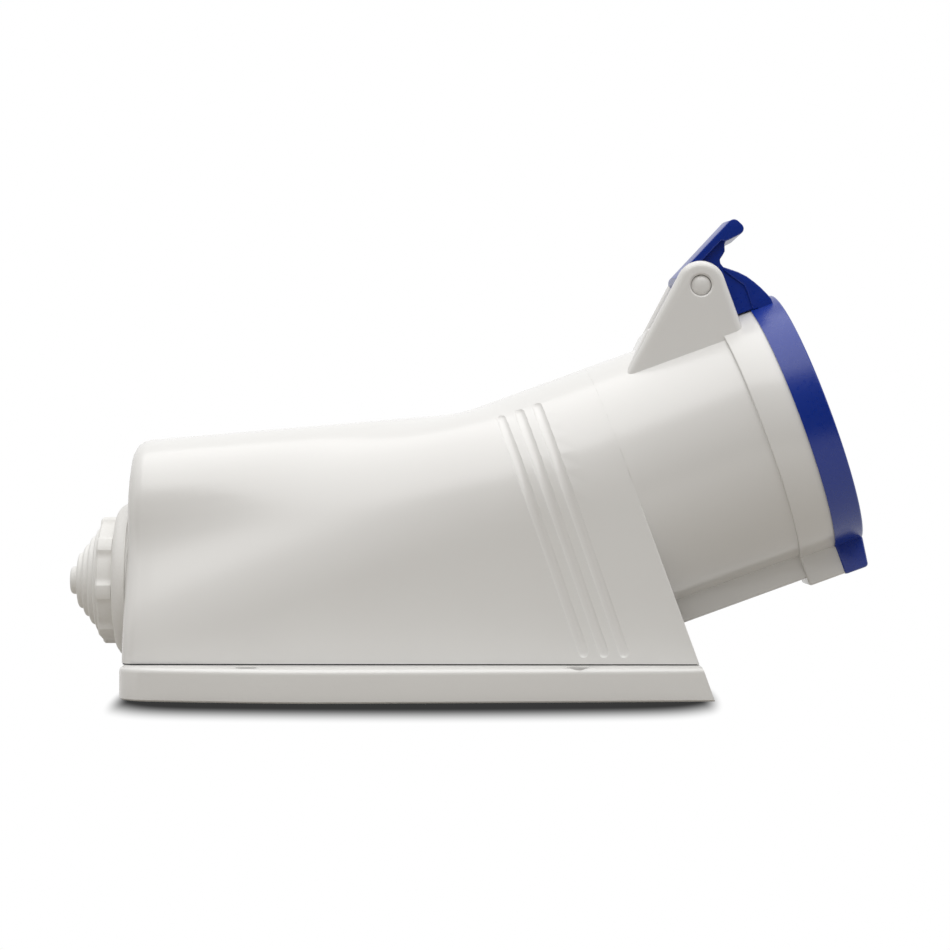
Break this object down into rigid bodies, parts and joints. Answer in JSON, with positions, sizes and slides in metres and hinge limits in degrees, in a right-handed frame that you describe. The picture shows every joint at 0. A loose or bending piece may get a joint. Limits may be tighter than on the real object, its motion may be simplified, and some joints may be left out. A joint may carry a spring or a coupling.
{
  "type": "surface mount pin and sleeve socket",
  "caption": "Wall-mounted industrial power socket with a tilted round barrel under a sprung blue lid, a smooth hood on a flanged base and a cable gland at the back.",
  "frame": {"origin": "middle of the wall-screw pattern on the back face", "axes": "+X along the base towards the socket mouth, +Y across, +Z away from the wall"},
  "size_m": [0.2061, 0.099, 0.1207],
  "materials": {
    "body_white": "glossy",
    "lid_blue": "semi-gloss",
    "carrier_blue": "satin",
    "plate_grey": "satin",
    "gland_white": "matt",
    "cone_rubber": "matt",
    "seal_dark": "matt",
    "brass": "turned",
    "steel": "plated"
  },
  "bodies": {
    "socket": {"base_plate": "body_white", "hood": "body_white", "barrel": "body_white", "base_gasket": "seal_dark", "lid_spring": "steel", "hinge_pin": "body_white", "contact_carrier": "carrier_blue", "carrier_flange": "carrier_blue", "carrier_plate": "plate_grey", "line_contact": "brass", "neutral_contact": "brass", "earth_contact": "brass", "contact_rings": "steel", "terminal_screws": "steel", "carrier_screws": "steel", "gland_body": "gland_white", "gland_washer": "seal_dark", "gland_cone": "cone_rubber", "gland_locknut": "gland_white", "cover_screws": "steel"},
    "lid": {"lid": "lid_blue", "lid_gasket": "seal_dark"},
    "gland_nut": {"gland_nut": "gland_white"}
  },
  "joints": [
    {"name": "lid_hinge", "type": "hinge", "parent": "socket", "child": "lid", "pos_m": [0.07263, 0, 0.10342], "axis": [0, -1, 0], "range_deg": [0, 100], "stiffness_Nm_per_rad": 0.04, "springref_deg": -89.95},
    {"name": "gland_nut_turn", "type": "hinge", "parent": "socket", "child": "gland_nut", "pos_m": [-0.0728, 0, 0.028], "axis": [-1, 0, 0], "range_deg": [0, 360]}
  ]
}
